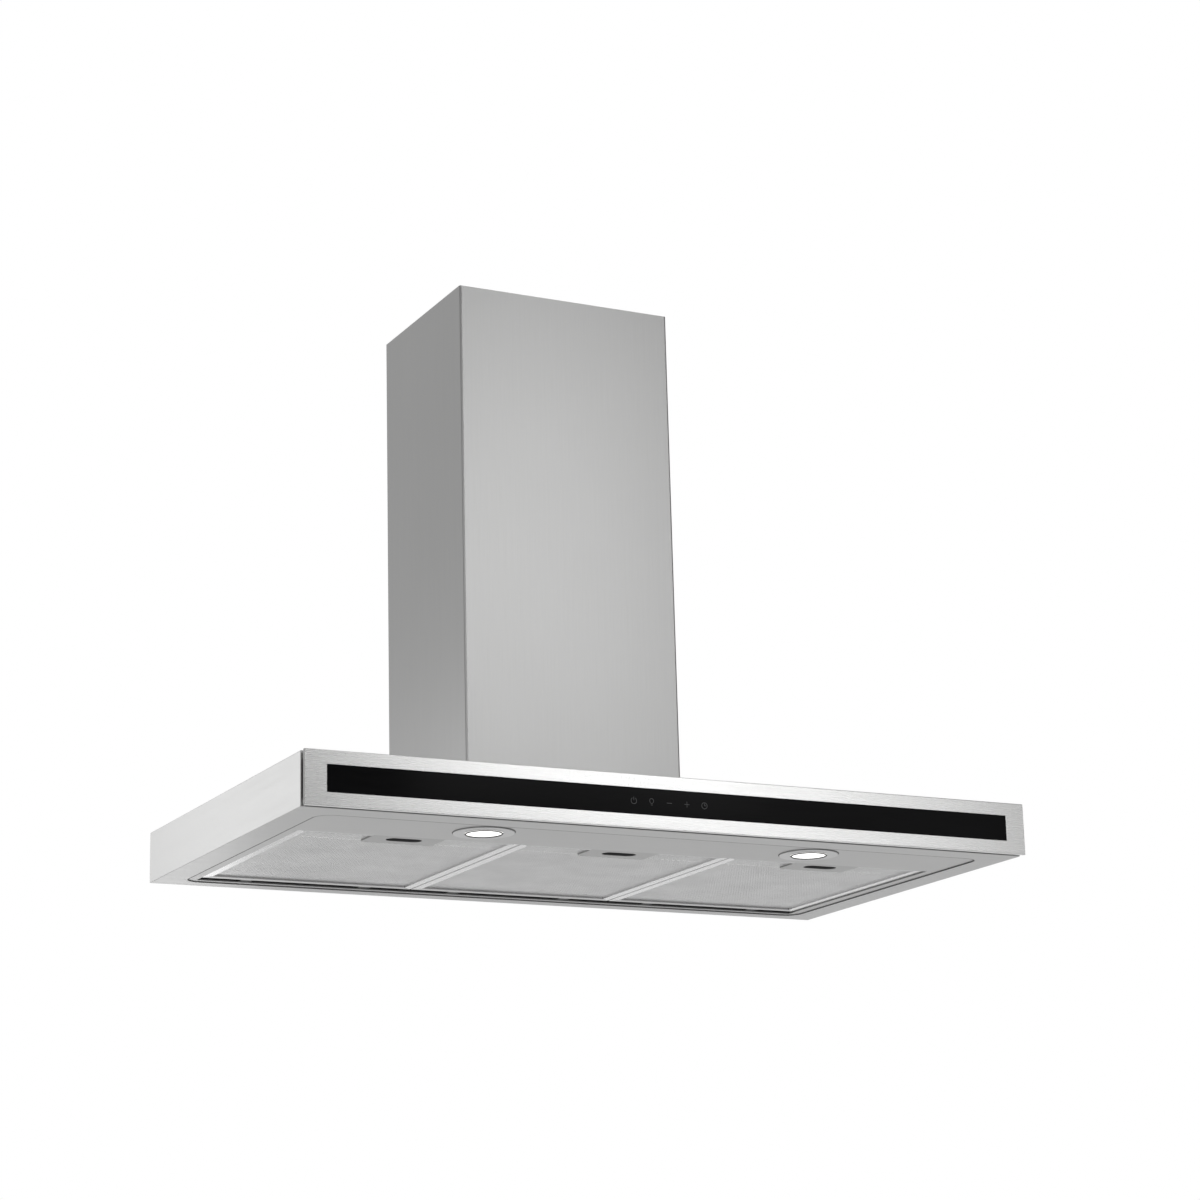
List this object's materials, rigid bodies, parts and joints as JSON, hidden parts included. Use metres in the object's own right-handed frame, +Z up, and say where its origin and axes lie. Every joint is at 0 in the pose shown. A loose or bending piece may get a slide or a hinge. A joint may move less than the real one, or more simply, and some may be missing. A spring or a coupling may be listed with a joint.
{
  "type": "wall mount range hood",
  "caption": "T-shaped wall range hood: flat stainless canopy with a glass touch strip, lamps and hinged grease filters, under a telescoping chimney round the blower.",
  "frame": {"origin": "middle of the four wall screws, on the wall", "axes": "+X to the right as seen from the front, +Y into the wall, +Z up"},
  "size_m": [0.898, 0.5, 0.7155],
  "materials": {
    "canopy_steel": "brushed stainless steel, grain along the canopy",
    "fascia_steel": "brushed stainless steel, grain along the front",
    "chimney_steel": "brushed stainless steel",
    "panel_steel": "brushed stainless steel, satin",
    "filter_steel": "bright folded stainless steel",
    "filter_aluminium": "expanded aluminium, satin",
    "latch_steel": "stamped stainless steel",
    "latch_plastic": "black moulded plastic",
    "spring_steel": "spring steel strip",
    "black_glass": "black printed glass, polished",
    "black_plastic": "black moulded plastic",
    "rubber_pads": "conductive foam",
    "circuit_board": "green circuit board",
    "screw_steel": "zinc plated steel",
    "lamp_chrome": "chrome plated",
    "lamp_lens": "white diffuser, lit",
    "reflector_aluminium": "polished aluminium",
    "sink_aluminium": "cast aluminium",
    "galvanised_steel": "galvanised sheet steel",
    "grey_plastic": "grey moulded plastic",
    "wheel_plastic": "black moulded plastic",
    "motor_paint": "black painted steel can",
    "white_plastic": "white moulded plastic"
  },
  "bodies": {
    "hood": {"canopy_shell": "canopy_steel", "front_fascia": "fascia_steel", "chimney_lower": "chimney_steel", "inner_panel": "panel_steel", "control_glass": "black_glass", "glass_carrier": "black_plastic", "cable_gland": "black_plastic", "touch_pads": "rubber_pads", "touch_board": "circuit_board", "power_board": "circuit_board", "lamp_board_left": "circuit_board", "lamp_board_right": "circuit_board", "fascia_spacers": "screw_steel", "fascia_studs": "screw_steel", "casing_screws": "screw_steel", "flap_pin": "screw_steel", "lamp_bezel_left": "lamp_chrome", "lamp_bezel_right": "lamp_chrome", "lamp_lens_left": "lamp_lens", "lamp_lens_right": "lamp_lens", "lamp_reflector_left": "reflector_aluminium", "lamp_reflector_right": "reflector_aluminium", "lamp_heat_sink_left": "sink_aluminium", "lamp_heat_sink_right": "sink_aluminium", "chimney_feet": "galvanised_steel", "wall_plate": "galvanised_steel", "blower_casing": "galvanised_steel", "blower_cover": "galvanised_steel", "motor_bracket": "galvanised_steel", "scroll_left": "grey_plastic", "scroll_right": "grey_plastic", "outlet_adapter": "grey_plastic", "outlet_collar": "grey_plastic", "motor_body": "motor_paint", "capacitor": "white_plastic", "power_box": "white_plastic", "power_box_lid": "white_plastic"},
    "chimney_top": {"chimney_upper": "chimney_steel", "chimney_bracket": "galvanised_steel", "chimney_screws": "screw_steel"},
    "wheel": {"impeller": "wheel_plastic", "motor_shaft": "screw_steel"},
    "front_flap": {"flap_front": "grey_plastic"},
    "rear_flap": {"flap_rear": "grey_plastic"},
    "filter_left": {"filter_frame_left": "filter_steel", "filter_mesh_left": "filter_aluminium", "latch_base_left": "latch_steel", "latch_spring_left": "spring_steel"},
    "latch_left": {"latch_slider_left": "latch_plastic"},
    "filter_centre": {"filter_frame_centre": "filter_steel", "filter_mesh_centre": "filter_aluminium", "latch_base_centre": "latch_steel", "latch_spring_centre": "spring_steel"},
    "latch_centre": {"latch_slider_centre": "latch_plastic"},
    "filter_right": {"filter_frame_right": "filter_steel", "filter_mesh_right": "filter_aluminium", "latch_base_right": "latch_steel", "latch_spring_right": "spring_steel"},
    "latch_right": {"latch_slider_right": "latch_plastic"}
  },
  "joints": [
    {"name": "chimney_slide", "type": "slide", "parent": "hood", "child": "chimney_top", "axis": [0, 0, 1], "range_m": [0, 0.4]},
    {"name": "wheel_spin", "type": "hinge", "parent": "hood", "child": "wheel", "pos_m": [0, -0.09775, -0.03975], "axis": [1, 0, 0], "continuous": true},
    {"name": "front_flap_swing", "type": "hinge", "parent": "hood", "child": "front_flap", "pos_m": [0, -0.10825, 0.1606], "axis": [-1, 0, 0], "range_deg": [0, 75]},
    {"name": "rear_flap_swing", "type": "hinge", "parent": "hood", "child": "rear_flap", "pos_m": [0, -0.10825, 0.1606], "axis": [1, 0, 0], "range_deg": [0, 75]},
    {"name": "filter_left_swing", "type": "hinge", "parent": "hood", "child": "filter_left", "pos_m": [-0.2675, -0.032, -0.2075], "axis": [1, 0, 0], "range_deg": [0, 70]},
    {"name": "latch_left_slide", "type": "slide", "parent": "filter_left", "child": "latch_left", "axis": [0, 1, 0], "range_m": [0, 0.0065], "stiffness_N_per_m": 400, "springref_m": -0.008, "deforming": ["latch_spring_left"]},
    {"name": "filter_centre_swing", "type": "hinge", "parent": "hood", "child": "filter_centre", "pos_m": [0, -0.032, -0.2075], "axis": [1, 0, 0], "range_deg": [0, 70]},
    {"name": "latch_centre_slide", "type": "slide", "parent": "filter_centre", "child": "latch_centre", "axis": [0, 1, 0], "range_m": [0, 0.0065], "stiffness_N_per_m": 400, "springref_m": -0.008, "deforming": ["latch_spring_centre"]},
    {"name": "filter_right_swing", "type": "hinge", "parent": "hood", "child": "filter_right", "pos_m": [0.2675, -0.032, -0.2075], "axis": [1, 0, 0], "range_deg": [0, 70]},
    {"name": "latch_right_slide", "type": "slide", "parent": "filter_right", "child": "latch_right", "axis": [0, 1, 0], "range_m": [0, 0.0065], "stiffness_N_per_m": 400, "springref_m": -0.008, "deforming": ["latch_spring_right"]}
  ]
}
